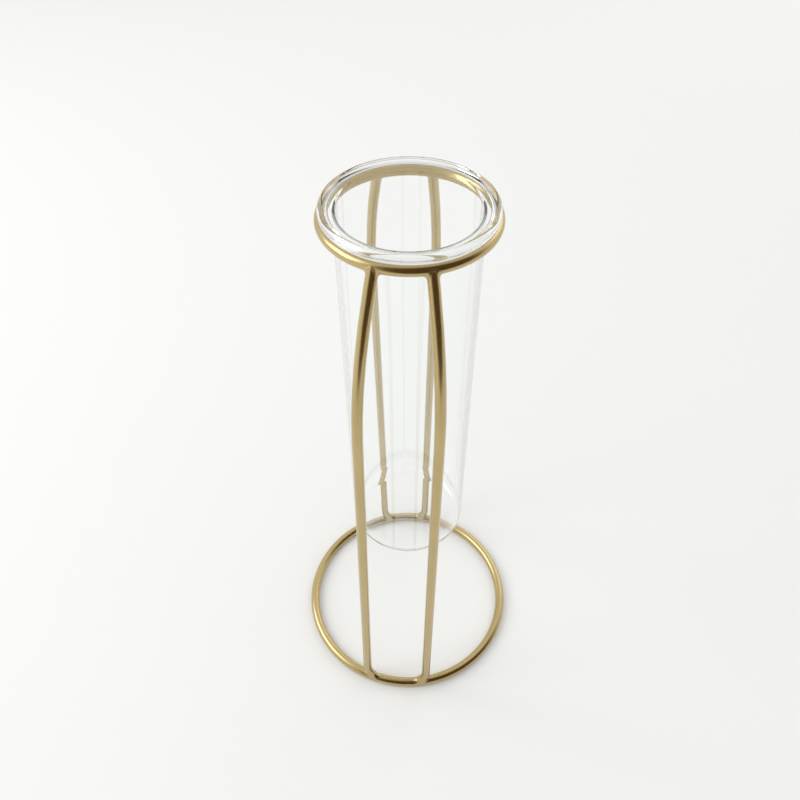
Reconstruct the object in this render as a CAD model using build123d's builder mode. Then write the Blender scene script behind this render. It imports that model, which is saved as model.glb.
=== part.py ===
"""Test tube vase: a clear glass tube with a flared lip, hung by the lip in a brass wire stand.

Frame: millimetres, +Z up, origin on the floor under the middle of the rings, -Y is the front.
The stand is two wire rings and four wire legs, two in front and two behind, welded to the rings.
"""
import os
from math import radians, sqrt, tan

from build123d import *

# Stand: rings
base_ring_wire = 3.7  # wire diameter
base_ring_radius = 41.9  # to the middle of the wire
base_ring_flat = 0.15  # how deep the underside is ground flat, so that the ring stands still
top_ring_wire = 3.2
top_ring_clearance = 1.65  # between the tube and the inside of the upper ring
ring_spacing = 200.0  # from the middle of the lower wire to the middle of the upper one

# Stand: legs, measured from the middle of a pair and of the base ring's wire
leg_wire = 3.3
front_top_spread = 7.4  # half the distance between the pair's legs
front_shoulder_spread = 11.7
front_foot_spread = 12.1
back_top_spread = 8.1
back_shoulder_spread = 11.7
back_foot_spread = 10.1
leg_shoulder_reach = 36.0  # how far the bend stands out to the front or back
leg_shoulder_drop = 27.2  # the bend's corner below the middle of the upper wire
leg_shoulder_share = 0.81  # share of the run above the corner that the bend takes
toe_turn_in = 3.2  # how far a foot turns in along the ring
toe_rise = 4.4
toe_share = 0.55  # share of the toe that its bend takes
front_shift_top = 1.0  # the pairs are welded on a little to the left of the rings' middle
front_shift_shoulder = 1.6
front_shift_foot = 3.3
back_shift_top = 2.0
back_shift_shoulder = 3.0
back_shift_foot = 2.6

# Stand: welds
top_weld_flare = 1.4  # how far the weld spreads along the ring past the leg
top_weld_length = 3.0  # how far it runs down the leg
top_weld_skin = 0.15
foot_weld_length = 6.4
foot_weld_skin = 0.3

# Glass
tube_radius = 20.9  # outside
tube_wall = 0.95
tube_bottom_height = 64.7  # underside of the glass above the middle of the lower wire
tube_bottom_thickness = 1.2
tube_bottom_rounding = 4.0
bore_bottom_rounding = 3.05
lip_overhang = 0.6  # how far the rim stands out past the middle of the upper wire
lip_seat_clearance = 0.2  # between the bead under the lip and the ring that it rests on
lip_bead_width = 1.45  # flat underside of the thickened rim
lip_neck_height = 0.3  # where the lip leaves the tube, above the bead's underside
lip_hollow_height = 0.8  # deepest place of the hollow between the tube and the bead
lip_hollow_reach = 1.4  # how far that place lies outside the tube
lip_height = 2.9  # from the bead's underside to the rim's upper corner, before it is rounded
lip_rise = 1.8  # how far the rim stands above the mouth's inner edge
lip_lower_rounding = 0.5
lip_upper_rounding = 1.1
mouth_rounding = 0.8

# Derived places
base_wire_radius = base_ring_wire / 2
top_wire_radius = top_ring_wire / 2
leg_radius = leg_wire / 2
top_ring_radius = tube_radius + top_ring_clearance + top_wire_radius
lip_radius = top_ring_radius + lip_overhang
base_ring_height = base_wire_radius - base_ring_flat
top_ring_height = base_ring_height + ring_spacing
shoulder_height = top_ring_height - leg_shoulder_drop
toe_corner_height = base_ring_height + toe_rise
lip_underside = top_ring_height + top_wire_radius + lip_seat_clearance
rim_top = lip_underside + lip_height
mouth_height = rim_top - lip_rise
bore_radius = tube_radius - tube_wall
tube_underside = base_ring_height + tube_bottom_height
bore_floor = tube_underside + tube_bottom_thickness
sides = {"left": -1, "right": 1}
ends = {"front": -1, "back": 1}
pair_spreads = {
    -1: (front_top_spread, front_shoulder_spread, front_foot_spread),
    1: (back_top_spread, back_shoulder_spread, back_foot_spread),
}
pair_shifts = {
    -1: (front_shift_top, front_shift_shoulder, front_shift_foot),
    1: (back_shift_top, back_shift_shoulder, back_shift_foot),
}


def on_ring(ring_radius, across, end, height):
    """The point of a ring's middle line that lies so far across, on the front or the back."""
    return Vector(across, end * sqrt(ring_radius**2 - across**2), height)


def leg_points(side, end):
    """Corners of a leg's middle line, from the top ring down to the base ring."""
    pair = zip(pair_spreads[end], pair_shifts[end])
    top_across, shoulder_across, corner_across = [side * spread - shift for spread, shift in pair]
    foot_across = corner_across - side * toe_turn_in
    return [
        on_ring(top_ring_radius, top_across, end, top_ring_height),
        Vector(shoulder_across, end * leg_shoulder_reach, shoulder_height),
        on_ring(base_ring_radius, corner_across, end, toe_corner_height),
        on_ring(base_ring_radius, foot_across, end, base_ring_height),
    ]


def bend_radius(run_start, corner, run_end, share):
    """Radius of a bend that takes so large a share of the shorter run beside its corner."""
    first, second = corner - run_start, run_end - corner
    half_turn = radians(first.get_angle(second)) / 2
    return share * min(first.length, second.length) / tan(half_turn)


def ring_tangent(point):
    """Direction of a ring's wire at one of its points."""
    return Vector(-point.Y, point.X, 0).normalized()


# Rings
with BuildPart() as base_ring:
    with BuildSketch(Plane.XZ):
        with Locations((base_ring_radius, base_ring_height)):
            Circle(base_wire_radius)
    revolve(axis=Axis.Z)
    split(bisect_by=Plane.XY, keep=Keep.TOP)

with BuildPart() as top_ring:
    with BuildSketch(Plane.XZ):
        with Locations((top_ring_radius, top_ring_height)):
            Circle(top_wire_radius)
    revolve(axis=Axis.Z)


def make_leg(points):
    """A bent wire along the points, shaped at both ends to fit the rings."""
    radii = [bend_radius(*points[:3], leg_shoulder_share), bend_radius(*points[1:], toe_share)]
    with BuildPart() as leg:
        with BuildLine() as path:
            FilletPolyline(*points, radius=radii)
        with BuildSketch(Plane(origin=path.line @ 0, z_dir=path.line % 0)):
            Circle(leg_radius)
        sweep()
        add(top_ring.part, mode=Mode.SUBTRACT)
        add(base_ring.part, mode=Mode.SUBTRACT)
        split(bisect_by=Plane.XY, keep=Keep.TOP)
    return leg.part


def make_top_weld(points, leg):
    """A flared collar under the top ring, wide along the ring and tight across it."""
    top, shoulder = points[0], points[1]
    down = (shoulder - top).normalized()
    tangent = ring_tangent(top)
    collar_radius = leg_radius + top_weld_skin
    depths = [0, top_wire_radius, top_wire_radius + top_weld_length / 3, top_wire_radius + top_weld_length]
    flare_shares = [1, 1, 0.3, 0]
    with BuildPart() as weld:
        for depth, share in zip(depths, flare_shares):
            with BuildSketch(Plane(origin=top + down * depth, x_dir=tangent, z_dir=down)):
                Ellipse(collar_radius + top_weld_flare * share, collar_radius)
        loft()
        add(top_ring.part, mode=Mode.SUBTRACT)
        add(leg, mode=Mode.SUBTRACT)
    return weld.part.solids().sort_by(SortBy.VOLUME)[-1]


def make_foot_weld(points, leg):
    """A bead round the base ring where the toe meets it, flat where it stands on the floor."""
    foot = points[-1]
    with BuildPart() as weld:
        with BuildSketch(Plane(origin=foot, x_dir=ring_tangent(foot), z_dir=Vector(0, 0, 1))):
            Ellipse(foot_weld_length / 2, base_wire_radius + foot_weld_skin)
            Rectangle(foot_weld_length, base_ring_wire, align=(Align.CENTER, Align.MAX), mode=Mode.SUBTRACT)
        revolve(axis=Axis(foot, ring_tangent(foot)))
        add(base_ring.part, mode=Mode.SUBTRACT)
        add(leg, mode=Mode.SUBTRACT)
        split(bisect_by=Plane.XY, keep=Keep.TOP)
    return weld.part


# Legs and their welds
legs = {}
top_weld_solids = []
foot_weld_solids = []
for end_name, end in ends.items():
    for side_name, side in sides.items():
        points = leg_points(side, end)
        leg = make_leg(points)
        legs[f"leg_{end_name}_{side_name}"] = leg
        top_weld_solids.append(make_top_weld(points, leg))
        foot_weld_solids.append(make_foot_weld(points, leg))

with BuildPart() as top_welds:
    add(top_weld_solids)

with BuildPart() as foot_welds:
    add(foot_weld_solids)

# Glass tube: one turned profile, up the outside, over the lip and down the bore
with BuildPart() as glass_tube:
    with BuildSketch(Plane.XZ):
        with BuildLine():
            wall = FilletPolyline(
                (0, tube_underside),
                (tube_radius, tube_underside),
                (tube_radius, lip_underside + lip_neck_height),
                (tube_radius + lip_hollow_reach, lip_underside + lip_hollow_height),
                (lip_radius - lip_bead_width, lip_underside),
                (lip_radius, lip_underside),
                (lip_radius, rim_top),
                (bore_radius, mouth_height),
                (bore_radius, bore_floor),
                (0, bore_floor),
                radius=[
                    tube_bottom_rounding,
                    lip_lower_rounding,
                    lip_lower_rounding,
                    lip_lower_rounding,
                    lip_lower_rounding,
                    lip_upper_rounding,
                    mouth_rounding,
                    bore_bottom_rounding,
                ],
            )
            Line(wall @ 1, wall @ 0)
        make_face()
    revolve(axis=Axis.Z)

# Files, one for each piece or group of welds
pieces = {
    "base_ring": base_ring.part,
    "top_ring": top_ring.part,
    "top_welds": top_welds.part,
    "foot_welds": foot_welds.part,
    "glass_tube": glass_tube.part,
    **legs,
}
os.makedirs("parts", exist_ok=True)
for name, piece in pieces.items():
    piece.label = name
    export_step(piece, f"parts/{name}.step")
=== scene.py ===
"""Test tube vase: the looks of a clear glass tube hung by its lip in a brass-plated wire stand.

Lengths are in metres, +Z is up and -Y is the front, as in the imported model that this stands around.
"""
from math import radians

import bpy
import numpy as np
from mathutils import Matrix, Vector


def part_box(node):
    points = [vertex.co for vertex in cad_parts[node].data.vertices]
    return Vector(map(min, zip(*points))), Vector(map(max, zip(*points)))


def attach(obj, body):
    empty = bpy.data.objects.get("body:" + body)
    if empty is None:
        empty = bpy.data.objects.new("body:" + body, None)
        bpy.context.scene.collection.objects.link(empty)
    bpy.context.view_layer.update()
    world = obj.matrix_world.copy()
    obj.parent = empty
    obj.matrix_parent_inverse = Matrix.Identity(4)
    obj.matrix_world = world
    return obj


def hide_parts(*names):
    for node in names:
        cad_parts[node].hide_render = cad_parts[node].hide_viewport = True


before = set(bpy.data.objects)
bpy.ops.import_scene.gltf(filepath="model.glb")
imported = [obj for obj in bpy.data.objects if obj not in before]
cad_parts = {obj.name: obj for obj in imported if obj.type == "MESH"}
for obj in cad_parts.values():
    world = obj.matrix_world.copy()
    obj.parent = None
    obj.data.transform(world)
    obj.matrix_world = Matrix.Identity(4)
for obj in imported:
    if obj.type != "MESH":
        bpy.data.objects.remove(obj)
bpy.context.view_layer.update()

bl_info = {
    "name": "Test Tube Vase",
    "version": (1, 0, 0),
    "blender": (4, 5, 0),
    "location": "View3D > Sidebar > Vase",
    "description": "Builds a glass test tube vase and its brass wire stand",
    "category": "Add Mesh",
}

MM = 0.001

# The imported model's box, and the places that its pieces give to the rings and the tube
BASE_RING_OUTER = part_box("base_ring")[1].x
BASE_RING_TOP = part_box("base_ring")[1].z
TOP_RING_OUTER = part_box("top_ring")[1].x
TOP_RING_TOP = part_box("top_ring")[1].z
TUBE_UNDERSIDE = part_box("glass_tube")[0].z
LIP_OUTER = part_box("glass_tube")[1].x
FLOOR = 0.0

# How finely curved surfaces are divided
AROUND_AXIS = 288  # rings and tube, round the vase's axis
AROUND_RING_WIRE = 80
AROUND_LEG_WIRE = 40
AROUND_WELD = 80
WELD_ROWS = 13
BEND_STEP = radians(6)
LEAST_IN_BEND = 5
LEG_STEP = 4 * MM  # along a leg's straight runs
GLASS_STEP = 3 * MM  # along the straight runs of the glass profile
SHORTEST_RUN = 1 / 4  # a run shorter than this share of a step isn't divided
GUARD_SHARE = 1 / 8  # how close to a run's ends its first and last division lie, as a share of a step

# Welds: where the seam is looked for, and how the metal narrows across the ring
SEAM_REACH = 3  # up the leg, in diameters of the ring's wire
SEAM_HALVINGS = 30
WELD_ACROSS = 0.3  # the weld's width across the ring, as a share of its width along it
WELD_SLOPE = 0.6  # how much lower it runs out across the ring, as a share of its width
WELD_BULGE = 0.25  # how much fuller it is there, as a share of its width
CORE_OUT = 0.5  # where its surface closes inside the metal: a share of the leg's radius out
CORE_UP = 0.4  # and a share of the seam's height up

# A Mix node's sockets for colours, which share their names with its other sockets
COLOUR_A, COLOUR_B, MIXED_COLOUR = 6, 7, 2

# Brass: a noise texture's values lie nearly all between these two
NOISE_LOW, NOISE_HIGH = 0.3, 0.7
CLOUD_SIZE = 14 * MM  # across one patch of thicker or thinner plating
GRAIN_STRENGTH, GRAIN_DEPTH = 0.01, 0.02 * MM
SMOOTHER, ROUGHER = 0.01, 0.02  # how far the grain changes the roughness, down and up

# Glass: a ray counts as caught in the wall once it was mirrored more often than this
CAUGHT_AFTER = 2.5

# Room: pale walls, and a brown side to the front, above and a little to the right. The edges are cosines of
# the angle from that side's middle: the room begins to darken at the first and is dark from the second on.
PALE_WALLS, BROWN_WALLS = "#FBFBF8", "#5A4322"
DARK_SIDE = Vector((0.42, -0.80, 0.42)).normalized()
DARK_BEGINS, DARK_FULL = 0.25, 0.7
ROOM_STRENGTH = 1.0  # as the brass and the glass mirror it
PLAIN_LIGHT = "#FFFFFF"  # the even light that everything else gets
PLAIN_STRENGTH = 0.795

# Paper sweep: it reaches far to the back and the sides, and ends a little in front of the camera's foot
PAPER_FRONT = 0.45
PAPER_REACH = 4.0

# Soft boxes, each with its place, the point that it faces and its power in watts
SOFT_BOX_SIZE = 0.8
SOFT_BOXES = {
    "window": ((-0.95, -0.03, 0.8), (0, 0, 0.1), 5.0),
    "fill": ((0.7, 1.0, 0.8), (0.3, 0.6, 0), 1.7),
}

# Camera, from the outlines of both rings: its place across, to the front and up, as shares of the distance
# between the rings, from the middle of the base ring, and then turned by the yaw
CAMERA_ACROSS, CAMERA_FRONT, CAMERA_UP = -0.0142, -0.8952, 1.5851
CAMERA_YAW, CAMERA_PITCH, CAMERA_ROLL = radians(2.4), radians(46.57), radians(-0.361)
CAMERA_LENS, CAMERA_SENSOR = 34.77, 36.0  # millimetres
CAMERA_NEAR = 0.01


# Settings that a user would change


def length(text, default):
    """A length in metres, with its name and description."""
    name, description = text
    return bpy.props.FloatProperty(
        name=name, description=description, default=default, min=0, precision=5, unit="LENGTH"
    )


def pair_lengths(text, front, back):
    """The same length on the front pair of legs and on the back pair."""
    name, description = text
    return bpy.props.FloatVectorProperty(
        name=name, description=description, size=2, default=(front, back), min=0, precision=5, unit="LENGTH"
    )


def colour(text, default):
    """A colour as an sRGB hex value."""
    name, description = text
    return bpy.props.StringProperty(name=name, description=description, default=default)


def amount(text, default, high=1.0):
    """A plain number from zero up."""
    name, description = text
    return bpy.props.FloatProperty(name=name, description=description, default=default, min=0, max=high)


class StandSettings(bpy.types.PropertyGroup):
    """Sizes of the wire stand, measured from the middle of each wire."""

    base_wire: length(("Base wire", "Diameter of the base ring's wire"), 3.7 * MM)
    top_wire: length(("Top wire", "Diameter of the top ring's wire"), 3.2 * MM)
    leg_wire: length(("Leg wire", "Diameter of the legs' wire"), 3.3 * MM)
    top_spread: pair_lengths(("Spread at top", "Half the distance between a pair's legs"), 7.4 * MM, 8.1 * MM)
    shoulder_spread: pair_lengths(("Spread at shoulder", "The same at the bend"), 11.7 * MM, 11.7 * MM)
    foot_spread: pair_lengths(("Spread at foot", "The same above the base ring"), 12.1 * MM, 10.1 * MM)
    shift_top: pair_lengths(("Shift at top", "How far a pair stands to the left"), 1.0 * MM, 2.0 * MM)
    shift_shoulder: pair_lengths(("Shift at shoulder", "The same at the bend"), 1.6 * MM, 3.0 * MM)
    shift_foot: pair_lengths(("Shift at foot", "The same above the base ring"), 3.3 * MM, 2.6 * MM)
    shoulder_reach: length(("Shoulder reach", "How far the bend stands out to the front or back"), 36.0 * MM)
    shoulder_drop: length(("Shoulder drop", "The bend's corner below the top ring"), 27.2 * MM)
    toe_turn_in: length(("Toe turn-in", "How far a foot turns in along the ring"), 3.2 * MM)
    toe_rise: length(("Toe rise", "Height of the toe's corner above the base ring"), 4.4 * MM)
    shoulder_share: amount(("Shoulder bend", "Share of its run that the bend takes"), 0.81)
    toe_share: amount(("Toe bend", "Share of its run that the bend takes"), 0.55)
    top_weld: length(("Top weld", "How far the weld flares at the top ring"), 1.3 * MM)
    foot_weld: length(("Foot weld", "How far the weld flares at the base ring"), 1.7 * MM)


class GlassSettings(bpy.types.PropertyGroup):
    """Sizes and colour of the glass tube."""

    radius: length(("Radius", "Outer radius of the tube below the lip"), 20.9 * MM)
    wall: length(("Wall", "Thickness of the tube's wall"), 0.95 * MM)
    bottom: length(("Bottom", "Thickness of the closed bottom"), 1.2 * MM)
    bottom_rounding: length(("Bottom rounding", "Outside, where the wall turns into the bottom"), 4.0 * MM)
    bore_rounding: length(("Bore rounding", "Inside, where the bore turns into its floor"), 3.05 * MM)
    seat: length(("Seat", "Clearance between the bead under the lip and the top ring"), 0.2 * MM)
    bead: length(("Bead", "Width of the flat under the thickened rim"), 1.45 * MM)
    neck_height: length(("Neck height", "Where the lip leaves the tube, above the bead"), 0.3 * MM)
    hollow_height: length(("Hollow height", "Deepest place between the tube and the bead"), 0.8 * MM)
    hollow_reach: length(("Hollow reach", "How far that place lies outside the tube"), 1.4 * MM)
    lip_height: length(("Lip height", "From the bead to the rim's upper corner"), 2.9 * MM)
    lip_rise: length(("Lip rise", "How far the rim stands above the mouth's inner edge"), 1.8 * MM)
    lower_edge: length(("Lower edge", "Roundings under the lip"), 0.5 * MM)
    upper_edge: length(("Upper edge", "Rounding of the rim's upper corner"), 1.1 * MM)
    mouth: length(("Mouth", "Rounding from the lip into the bore"), 0.8 * MM)
    tint: colour(("Glass tint", "Colour of light that has passed the glass"), "#FEFFFF")
    deep_tint: colour(("Deep tint", "The same after many reflections inside the wall"), "#B4B8B8")
    ior: amount(("Index", "Index of refraction of borosilicate glass"), 1.473, 3.0)


class FinishSettings(bpy.types.PropertyGroup):
    """Colours and surface of the plated wire, and the colour of the paper."""

    brass: colour(("Brass", "Plating as it faces the eye"), "#C6B282")
    brass_deep: colour(("Deep brass", "Plating where it lies thicker or is a little tarnished"), "#B5A06B")
    roughness: amount(("Brass roughness", "Of the satin plating"), 0.24)
    grain: length(("Grain", "Size of the plating's grain, coarser than the real one's"), 0.35 * MM)
    paper: colour(("Paper", "Sweep that the vase stands on"), "#F4F4F2")


# Surfaces


def add_surface(name, grid, closed_rows=False, pole_ends=False):
    """A mesh over a grid of points, rows by columns by xyz, whose columns run round and close on themselves.

    Each face joins a point, the next one round, and the two above them in the next row. With closed_rows the
    last row joins the first. With pole_ends the first and last rows are one point each, the poles, and the
    rows beside them are joined to these by triangles.
    """
    rows, columns = grid.shape[:2]
    around = np.arange(columns)
    beside = (around + 1) % columns
    this_row = np.arange(rows if closed_rows else rows - 1)[:, None] * columns
    next_row = (this_row + columns) % (rows * columns)
    quads = np.stack([this_row + around, this_row + beside, next_row + beside, next_row + around], -1)
    quads = quads.reshape(-1, 4)
    points = grid.reshape(-1, 3)
    faces = quads.tolist()
    if pole_ends:
        inner = quads[columns:-columns] - columns
        first, last = points[0], points[-1]
        points = np.vstack([points[columns:-columns], first, last])
        count = len(points)
        last_row = (rows - 3) * columns
        first_fan = np.stack([np.full(columns, count - 2), beside, around], -1)
        last_fan = np.stack([np.full(columns, count - 1), last_row + around, last_row + beside], -1)
        faces = inner.tolist() + first_fan.tolist() + last_fan.tolist()
    mesh = bpy.data.meshes.new(name)
    mesh.from_pydata(points.tolist(), [], faces)
    mesh.update()
    mesh.polygons.foreach_set("use_smooth", np.ones(len(mesh.polygons), bool))
    piece = bpy.data.objects.new(name, mesh)
    bpy.context.collection.objects.link(piece)
    return piece


def unit(vectors):
    """Vectors of length one: each is divided by its own length."""
    return vectors / np.linalg.norm(vectors, axis=-1, keepdims=True)


def bent_path(corners, radii, run_step):
    """Straight runs joined by arcs that touch both runs at each corner.

    An arc starts before its corner by its radius times the tangent of half its turn, and its middle lies
    inside the corner by its radius over the cosine of half its turn. A point of the arc is the sum of its two
    end points as seen from that middle, each times the sine of the angle left to the other end, over the sine
    of the whole turn.
    """
    corners = np.array(corners, float)
    stations = [corners[:1]]
    for before, corner, after, radius in zip(corners, corners[1:], corners[2:], radii):
        back, ahead = unit(before - corner), unit(after - corner)
        turn = np.pi - np.arccos(np.clip(back @ ahead, -1, 1))
        reach = radius * np.tan(turn / 2)
        middle = corner + unit(back + ahead) * radius / np.cos(turn / 2)
        start, end = corner + back * reach, corner + ahead * reach
        t = np.linspace(0, 1, max(LEAST_IN_BEND, int(np.ceil(turn / BEND_STEP)) + 1))[:, None]
        first, second = start - middle, end - middle
        arc = middle + (np.sin((1 - t) * turn) * first + np.sin(t * turn) * second) / np.sin(turn)
        stations += [divided(stations[-1][-1], start, run_step), arc]
    stations += [divided(stations[-1][-1], corners[-1], run_step), corners[-1:]]
    return np.concatenate(stations)


def divided(start, end, step):
    """Points inside a straight run: its start plus even shares of the way to its end.

    One more lies close beside each end, so that shading stays flat along the run.
    """
    run = np.linalg.norm(end - start)
    if run < step * SHORTEST_RUN:
        return np.empty((0, len(start)))
    even = np.linspace(0, run, max(2, int(np.ceil(run / step)) + 1))[1:-1]
    guard = min(step, run) * GUARD_SHARE
    places = np.unique(np.r_[guard, even, run - guard])[:, None]
    return start + (end - start) * places / run


def bend_radius(before, corner, after, share):
    """Radius of a bend that takes so large a share of the shorter run beside its corner.

    It is that share of the run over the tangent of half the bend's turn.
    """
    first, second = corner - before, after - corner
    return share * min(first.length, second.length) / np.tan(first.angle(second) / 2)


def turned(profile):
    """A profile of radius and height, turned round the Z axis.

    x is the radius times the cosine of the angle, y the radius times its sine, and z the height.
    """
    angle = np.linspace(0, 2 * np.pi, AROUND_AXIS, endpoint=False)
    radius, height = profile[:, :1], profile[:, 1:]
    return np.stack([radius * np.cos(angle), radius * np.sin(angle), height + 0 * angle], -1)


def wire_round(path, radius):
    """A round wire along a path, with its ends closed.

    A point is the path's point, plus the radius times the cosine of the angle towards one side, plus the
    radius times its sine over the top. The side is square to the path and to the Y axis, which no leg
    follows, and the top is square to both. The first and last rows are the path's own end points, as poles.
    """
    along = unit(np.gradient(path, axis=0))
    side = unit(np.cross(along, [0, 1.0, 0]))
    over = np.cross(along, side)
    angle = np.linspace(0, 2 * np.pi, AROUND_LEG_WIRE, endpoint=False)[:, None]
    circle = side[:, None] * np.cos(angle) + over[:, None] * np.sin(angle)
    wire = path[:, None] + circle * radius
    return np.concatenate([path[0] + 0 * wire[:1], wire, path[-1] + 0 * wire[:1]])


class Ring:
    """A wire ring that lies level: its wire's middle line is a circle about the Z axis."""

    def __init__(self, radius, height, wire):
        self.radius, self.height, self.wire = radius, height, wire

    def middle(self, points):
        """Nearest points of the middle line: the ring's radius in each point's direction from the axis."""
        flat = points * [1, 1, 0]
        return unit(flat) * self.radius + [0, 0, self.height]

    def lift(self, points):
        """How far points stand off the wire: their distance from the middle line, less the wire's radius."""
        return np.linalg.norm(points - self.middle(points), axis=-1) - self.wire / 2

    def onto(self, points):
        """Points moved onto the wire by the shortest way: the wire's radius from the middle line."""
        middle = self.middle(points)
        return middle + unit(points - middle) * self.wire / 2

    def at(self, across, end):
        """The middle line's point so far across, at the front (-1) or back (1), by Pythagoras."""
        return Vector((across, end * (self.radius**2 - across**2) ** 0.5, self.height))


def base_ring():
    """The base ring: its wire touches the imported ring's outer side and top from inside."""
    wire = bpy.context.scene.vase_stand.base_wire
    return Ring(BASE_RING_OUTER - wire / 2, BASE_RING_TOP - wire / 2, wire)


def top_ring():
    """The top ring, placed in the same way."""
    wire = bpy.context.scene.vase_stand.top_wire
    return Ring(TOP_RING_OUTER - wire / 2, TOP_RING_TOP - wire / 2, wire)


def leg_corners(side, end):
    """Corners of a leg's middle line from the top ring down: ring, shoulder, toe, foot.

    Each lies the pair's spread to the leg's side, less the pair's shift to the left. All but the shoulder lie
    over a ring's middle line. The foot lies further in than the toe by the toe's turn-in.
    """
    stand, top, base = bpy.context.scene.vase_stand, top_ring(), base_ring()
    pair = 0 if end < 0 else 1
    places = (
        (stand.top_spread, stand.shift_top),
        (stand.shoulder_spread, stand.shift_shoulder),
        (stand.foot_spread, stand.shift_foot),
    )
    top_across, shoulder_across, toe_across = [side * spread[pair] - shift[pair] for spread, shift in places]
    toe = base.at(toe_across, end)
    toe.z += stand.toe_rise
    return [
        top.at(top_across, end),
        Vector((shoulder_across, end * stand.shoulder_reach, top.height - stand.shoulder_drop)),
        toe,
        base.at(toe_across - side * stand.toe_turn_in, end),
    ]


def weld_surface(ring, foot, along_leg, flare):
    """A fillet of weld metal between a leg and a ring.

    For each direction round the leg, a line runs up the leg's side, and halving it again and again finds the
    seam point where it leaves the ring. The weld's surface there is a quadratic Bezier curve: its first point
    lies on the leg, the weld's width above the seam, its control point near the seam, and its last point on
    the ring, the width outside the seam. The width is the flare along the ring and a share of it across, and
    goes from one to the other with the square of the direction's cosine. A last row inside the metal closes
    the surface.
    """
    foot, up = np.array(foot), unit(np.array(along_leg))
    leg_radius = bpy.context.scene.vase_stand.leg_wire / 2
    tangent = unit(np.array([-foot[1], foot[0], 0.0]))
    ahead = unit(tangent - up * (tangent @ up))
    beside = np.cross(up, ahead)
    angle = np.linspace(0, 2 * np.pi, AROUND_WELD, endpoint=False)[:, None]
    out = ahead * np.cos(angle) + beside * np.sin(angle)
    low, high = np.zeros((len(out), 1)), np.full((len(out), 1), SEAM_REACH * ring.wire)
    for _ in range(SEAM_HALVINGS):
        height = (low + high) / 2
        inside = ring.lift(foot + out * leg_radius + up * height)[:, None] < 0
        low, high = np.where(inside, height, low), np.where(inside, high, height)
    seam = foot + out * leg_radius + up * height
    along_ring, across_ring = np.cos(angle) ** 2, np.sin(angle) ** 2
    width = flare * (WELD_ACROSS + (1 - WELD_ACROSS) * along_ring)
    on_leg = seam + up * width
    on_ring = ring.onto(seam + out * width - up * width * WELD_SLOPE * across_ring)
    fuller = seam + out * width * WELD_BULGE * across_ring
    t = np.linspace(0, 1, WELD_ROWS)[:, None, None]
    face = (1 - t) ** 2 * on_leg + 2 * t * (1 - t) * fuller + t**2 * on_ring
    core = foot + out * leg_radius * CORE_OUT + up * height * CORE_UP
    return np.concatenate([face, core[None]])[::-1]


# Materials


def linear(hex_colour):
    """The linear colour of an sRGB hex value.

    Each part is taken over 255. A dark part is then divided by 12.92. A lighter one has 0.055 added, is
    divided by 1.055 and raised to the power of 2.4.
    """
    parts = np.array([int(hex_colour[i : i + 2], 16) for i in (1, 3, 5)]) / 255
    return (*np.where(parts <= 0.04045, parts / 12.92, ((parts + 0.055) / 1.055) ** 2.4), 1.0)


def add_node(tree, kind, links=None, values=None, **settings):
    """A shader node with its settings, its sockets' values and what is linked into them."""
    node = tree.nodes.new(kind)
    for name, value in settings.items():
        setattr(node, name, value)
    for name, value in (values or {}).items():
        node.inputs[name].default_value = value
    for name, source in (links or {}).items():
        tree.links.new(source, node.inputs[name])
    return node


def new_material(name):
    """An empty material and its node tree."""
    material = bpy.data.materials.new(name)
    material.use_nodes = True
    material.node_tree.nodes.clear()
    return material, material.node_tree


def satin_brass_plate():
    """Satin brass plating over drawn steel wire, lacquered.

    To the eye it is a pale, soft gold. The wire mirrors the room as long blurred streaks with bright edges
    and no sharp image, and its gold is a little deeper in slow clouds, where the plating is thicker.
    """
    finish = bpy.context.scene.vase_finish
    material, tree = new_material("satin_brass_plate")
    place = add_node(tree, "ShaderNodeTexCoord").outputs["Object"]
    clouds = add_node(tree, "ShaderNodeTexNoise", {"Vector": place}, {"Scale": 1 / CLOUD_SIZE, "Detail": 3.0})
    gold = add_node(
        tree, "ShaderNodeMix", {"Factor": clouds.outputs["Fac"]},
        {COLOUR_A: linear(finish.brass), COLOUR_B: linear(finish.brass_deep)}, data_type="RGBA",
    )
    # The real grain, left by drawing and plating, is some hundredths of a millimetre. It wouldn't show, so it
    # is drawn as coarse as the setting says, and only just breaks up the streaks.
    grain = add_node(
        tree, "ShaderNodeTexNoise", {"Vector": place}, {"Scale": 1 / finish.grain, "Detail": 2.0}
    )
    rough = add_node(
        tree, "ShaderNodeMapRange", {"Value": grain.outputs["Fac"]},
        {
            "From Min": NOISE_LOW, "From Max": NOISE_HIGH,
            "To Min": finish.roughness - SMOOTHER, "To Max": finish.roughness + ROUGHER,
        },
    )
    bump = add_node(
        tree, "ShaderNodeBump", {"Height": grain.outputs["Fac"]},
        {"Strength": GRAIN_STRENGTH, "Distance": GRAIN_DEPTH},
    )
    # The coat is the clear lacquer, which lays a second, softer gleam over the metal's own
    metal = add_node(
        tree, "ShaderNodeBsdfPrincipled",
        {
            "Base Color": gold.outputs[MIXED_COLOUR], "Roughness": rough.outputs["Result"],
            "Normal": bump.outputs["Normal"],
        },
        {"Metallic": 1.0, "Coat Weight": 0.4, "Coat Roughness": 0.15},
    )
    add_node(tree, "ShaderNodeOutputMaterial", {"Surface": metal.outputs["BSDF"]})
    return material


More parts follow.
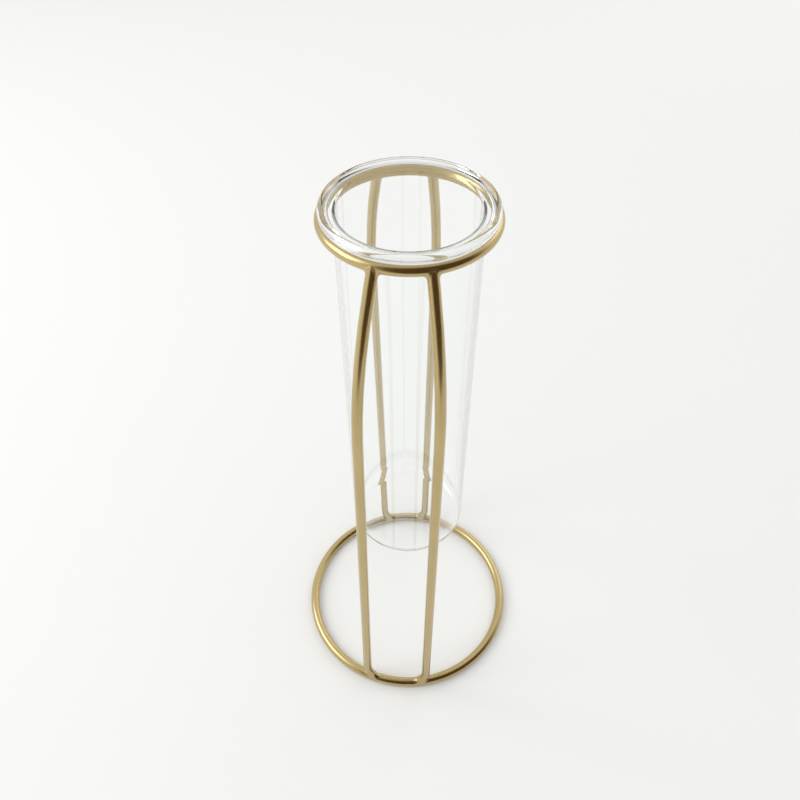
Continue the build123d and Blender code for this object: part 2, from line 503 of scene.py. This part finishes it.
def clear_borosilicate():
    """Clear borosilicate glass, drawn to a tube and flame-polished.

    To the eye it has no colour or texture of its own: it shows by thin grey and white lines where its wall is
    seen edge on, by small sharp highlights on the lip, and by how it bends what stands behind it.
    """
    glass = bpy.context.scene.vase_glass
    material, tree = new_material("clear_borosilicate")
    body = add_node(
        tree, "ShaderNodeBsdfPrincipled",
        values={
            "Base Color": linear(glass.tint), "Roughness": 0.0, "IOR": glass.ior, "Transmission Weight": 1.0,
        },
    )
    clear = add_node(tree, "ShaderNodeBsdfTransparent", values={"Color": linear(glass.tint)})
    dim = add_node(tree, "ShaderNodeBsdfTransparent", values={"Color": linear(glass.deep_tint)})
    ray = add_node(tree, "ShaderNodeLightPath").outputs
    # A ray caught in the wall goes straight on, a little dimmed, because it would else end in a black line
    caught = add_node(
        tree, "ShaderNodeMath", {0: ray["Glossy Depth"]}, {1: CAUGHT_AFTER}, operation="GREATER_THAN"
    )
    inner = add_node(
        tree, "ShaderNodeMixShader", {0: caught.outputs[0], 1: body.outputs["BSDF"], 2: dim.outputs["BSDF"]}
    )
    # Light passes the glass on its way to the paper, so the tube's shadow is as faint as a real one's
    both = add_node(
        tree, "ShaderNodeMixShader",
        {0: ray["Is Shadow Ray"], 1: inner.outputs["Shader"], 2: clear.outputs["BSDF"]},
    )
    add_node(tree, "ShaderNodeOutputMaterial", {"Surface": both.outputs["Shader"]})
    return material


def white_paper():
    """Seamless white paper, uncoated: to the eye it is matt and even, and takes soft shadows."""
    material, tree = new_material("white_paper")
    white = linear(bpy.context.scene.vase_finish.paper)
    paper = add_node(
        tree, "ShaderNodeBsdfPrincipled",
        values={"Base Color": white, "Roughness": 0.8, "Specular IOR Level": 0.1},
    )
    add_node(tree, "ShaderNodeOutputMaterial", {"Surface": paper.outputs["BSDF"]})
    return material


def named_material(maker):
    """The material that a maker function builds, made once."""
    return bpy.data.materials.get(maker.__name__) or maker()


def dress(piece, maker, body, slot, *nodes):
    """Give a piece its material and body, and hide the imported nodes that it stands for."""
    piece.data.materials.append(named_material(maker))
    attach(piece, body)
    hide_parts(*nodes)


# Stage


def lay_paper():
    """The paper sweep: one level sheet at the floor."""
    mesh = bpy.data.meshes.new("paper_sweep")
    front, far = -PAPER_FRONT, PAPER_REACH
    corners = [(-far, front, FLOOR), (far, front, FLOOR), (far, far, FLOOR), (-far, far, FLOOR)]
    mesh.from_pydata(corners, [], [(0, 1, 2, 3)])
    paper = bpy.data.objects.new("paper_sweep", mesh)
    bpy.context.collection.objects.link(paper)
    mesh.materials.append(named_material(white_paper))


def light_room():
    """The studio's walls: plain white light, and a room with a brown side where the vase mirrors it.

    A direction's share of brown grows smoothly with its cosine to the dark side, which is their dot product.
    The room shows to rays that were mirrored and have not passed glass: glossy less transmitted.
    """
    world = bpy.data.worlds.new("studio")
    bpy.context.scene.world = world
    world.use_nodes = True
    tree = world.node_tree
    tree.nodes.clear()
    direction = add_node(tree, "ShaderNodeTexCoord").outputs["Generated"]
    toward = add_node(tree, "ShaderNodeVectorMath", {0: direction}, {1: DARK_SIDE}, operation="DOT_PRODUCT")
    share = add_node(
        tree, "ShaderNodeMapRange", {"Value": toward.outputs["Value"]},
        {"From Min": DARK_BEGINS, "From Max": DARK_FULL}, interpolation_type="SMOOTHSTEP",
    )
    walls = add_node(
        tree, "ShaderNodeMix", {"Factor": share.outputs["Result"]},
        {COLOUR_A: linear(PALE_WALLS), COLOUR_B: linear(BROWN_WALLS)}, data_type="RGBA",
    )
    room = add_node(
        tree, "ShaderNodeBackground", {"Color": walls.outputs[MIXED_COLOUR]}, {"Strength": ROOM_STRENGTH}
    )
    plain = add_node(
        tree, "ShaderNodeBackground", values={"Color": linear(PLAIN_LIGHT), "Strength": PLAIN_STRENGTH}
    )
    ray = add_node(tree, "ShaderNodeLightPath").outputs
    mirrored = add_node(
        tree, "ShaderNodeMath", {0: ray["Is Glossy Ray"], 1: ray["Is Transmission Ray"]},
        operation="SUBTRACT", use_clamp=True,
    )
    both = add_node(
        tree, "ShaderNodeMixShader",
        {0: mirrored.outputs[0], 1: plain.outputs["Background"], 2: room.outputs["Background"]},
    )
    add_node(tree, "ShaderNodeOutputWorld", {"Surface": both.outputs["Shader"]})


def hang_soft_boxes():
    """The square soft boxes, each turned from its place to the point that it faces."""
    for name, (place, target, power) in SOFT_BOXES.items():
        data = bpy.data.lights.new(name, "AREA")
        data.size = SOFT_BOX_SIZE
        data.energy = power
        lamp = bpy.data.objects.new(name, data)
        bpy.context.collection.objects.link(lamp)
        lamp.location = place
        lamp.rotation_euler = (Vector(target) - Vector(place)).to_track_quat("-Z", "Y").to_euler()


def place_camera():
    """The camera at the photograph's viewing angle.

    Its place is its shares times the distance between the rings, from the middle of the base ring. It is
    rolled about its own line of sight, tilted down from level by the pitch, and turned with its place by yaw.
    """
    base = base_ring()
    span = top_ring().height - base.height
    camera = bpy.data.objects.new("camera", bpy.data.cameras.new("camera"))
    bpy.context.collection.objects.link(camera)
    camera.data.sensor_width = CAMERA_SENSOR
    camera.data.lens = CAMERA_LENS
    camera.data.clip_start = CAMERA_NEAR
    yaw = Matrix.Rotation(CAMERA_YAW, 4, "Z")
    tilt = Matrix.Rotation(np.pi / 2 - CAMERA_PITCH, 4, "X")
    roll = Matrix.Rotation(CAMERA_ROLL, 4, "Z")
    place = Vector((CAMERA_ACROSS * span, CAMERA_FRONT * span, CAMERA_UP * span + base.height))
    camera.matrix_world = Matrix.Translation(yaw @ place) @ yaw @ tilt @ roll
    bpy.context.scene.camera = camera


# Operators


class VASE_OT_rings(bpy.types.Operator):
    """Make the two wire rings"""

    bl_idname = "vase.rings"
    bl_label = "Rings"

    def execute(self, context):
        # The profile is a circle of the wire's radius round the wire's middle, ground flat at the floor
        angle = np.linspace(0, 2 * np.pi, AROUND_RING_WIRE, endpoint=False)
        circle = np.stack([np.cos(angle), np.sin(angle)], -1)
        for name, ring in (("base_ring", base_ring()), ("top_ring", top_ring())):
            profile = circle * ring.wire / 2 + [ring.radius, ring.height]
            profile[:, 1] = np.maximum(profile[:, 1], FLOOR)
            piece = add_surface(f"{name}_wire", turned(profile), closed_rows=True)
            dress(piece, satin_brass_plate, "stand", "brass", name)
        return {"FINISHED"}


class VASE_OT_legs(bpy.types.Operator):
    """Make the four bent legs and the weld metal at their ends"""

    bl_idname = "vase.legs"
    bl_label = "Legs and welds"

    def execute(self, context):
        stand = context.scene.vase_stand
        for end_name, end in (("front", -1), ("back", 1)):
            for side_name, side in (("left", -1), ("right", 1)):
                leg = f"{end_name}_{side_name}"
                corners = leg_corners(side, end)
                ring_end, shoulder, toe, foot = corners
                radii = [
                    bend_radius(ring_end, shoulder, toe, stand.shoulder_share),
                    bend_radius(shoulder, toe, foot, stand.toe_share),
                ]
                wire = wire_round(bent_path(corners, radii, LEG_STEP), stand.leg_wire / 2)
                piece = add_surface(f"leg_{leg}_wire", wire, pole_ends=True)
                dress(piece, satin_brass_plate, "stand", "brass", f"leg_{leg}")
                welds = {
                    "top": weld_surface(top_ring(), ring_end, shoulder - ring_end, stand.top_weld),
                    "foot": weld_surface(base_ring(), foot, toe - foot, stand.foot_weld),
                }
                for place, fillet in welds.items():
                    piece = add_surface(f"{place}_weld_{leg}", fillet, closed_rows=True)
                    dress(piece, satin_brass_plate, "stand", "brass", f"{place}_welds")
        return {"FINISHED"}


class VASE_OT_tube(bpy.types.Operator):
    """Make the glass tube"""

    bl_idname = "vase.tube"
    bl_label = "Glass tube"

    def execute(self, context):
        # The profile runs from the middle of the underside up the wall, under the lip and over its rim, and
        # back down the bore to the middle of its floor, with each corner rounded
        glass = context.scene.vase_glass
        bore, bore_floor = glass.radius - glass.wall, TUBE_UNDERSIDE + glass.bottom
        bead = TOP_RING_TOP + glass.seat
        rim = bead + glass.lip_height
        corners = [
            (0, TUBE_UNDERSIDE),
            (glass.radius, TUBE_UNDERSIDE),
            (glass.radius, bead + glass.neck_height),
            (glass.radius + glass.hollow_reach, bead + glass.hollow_height),
            (LIP_OUTER - glass.bead, bead),
            (LIP_OUTER, bead),
            (LIP_OUTER, rim),
            (bore, rim - glass.lip_rise),
            (bore, bore_floor),
            (0, bore_floor),
        ]
        radii = [
            glass.bottom_rounding,
            *[glass.lower_edge] * 4,
            glass.upper_edge,
            glass.mouth,
            glass.bore_rounding,
        ]
        profile = bent_path(corners, radii, GLASS_STEP)
        piece = add_surface("tube_glass", turned(profile), pole_ends=True)
        dress(piece, clear_borosilicate, "tube", "glass", "glass_tube")
        return {"FINISHED"}


class VASE_OT_stage(bpy.types.Operator):
    """Make the paper sweep, the lights and the camera"""

    bl_idname = "vase.stage"
    bl_label = "Stage"

    def execute(self, context):
        lay_paper()
        light_room()
        hang_soft_boxes()
        place_camera()
        context.scene.view_settings.view_transform = "Standard"
        return {"FINISHED"}


class VASE_PT_panel(bpy.types.Panel):
    """Lists the steps that build the vase"""

    bl_label = "Test Tube Vase"
    bl_idname = "VASE_PT_panel"
    bl_space_type = "VIEW_3D"
    bl_region_type = "UI"
    bl_category = "Vase"

    def draw(self, context):
        """One button for each step, in the order in which they run."""
        for operator in OPERATORS:
            self.layout.operator(operator.bl_idname)


SETTINGS = {"vase_stand": StandSettings, "vase_glass": GlassSettings, "vase_finish": FinishSettings}
OPERATORS = (VASE_OT_rings, VASE_OT_legs, VASE_OT_tube, VASE_OT_stage)


def register():
    """Add the settings, the steps and the panel to Blender."""
    for name, group in SETTINGS.items():
        bpy.utils.register_class(group)
        setattr(bpy.types.Scene, name, bpy.props.PointerProperty(type=group))
    for operator in (*OPERATORS, VASE_PT_panel):
        bpy.utils.register_class(operator)


def unregister():
    """Take them out again, the last one first."""
    for operator in (VASE_PT_panel, *reversed(OPERATORS)):
        bpy.utils.unregister_class(operator)
    for name, group in SETTINGS.items():
        delattr(bpy.types.Scene, name)
        bpy.utils.unregister_class(group)


def main():
    """Build the vase and its stage."""
    register()
    bpy.ops.vase.rings()
    bpy.ops.vase.legs()
    bpy.ops.vase.tube()
    bpy.ops.vase.stage()


if __name__ == "__main__":
    main()
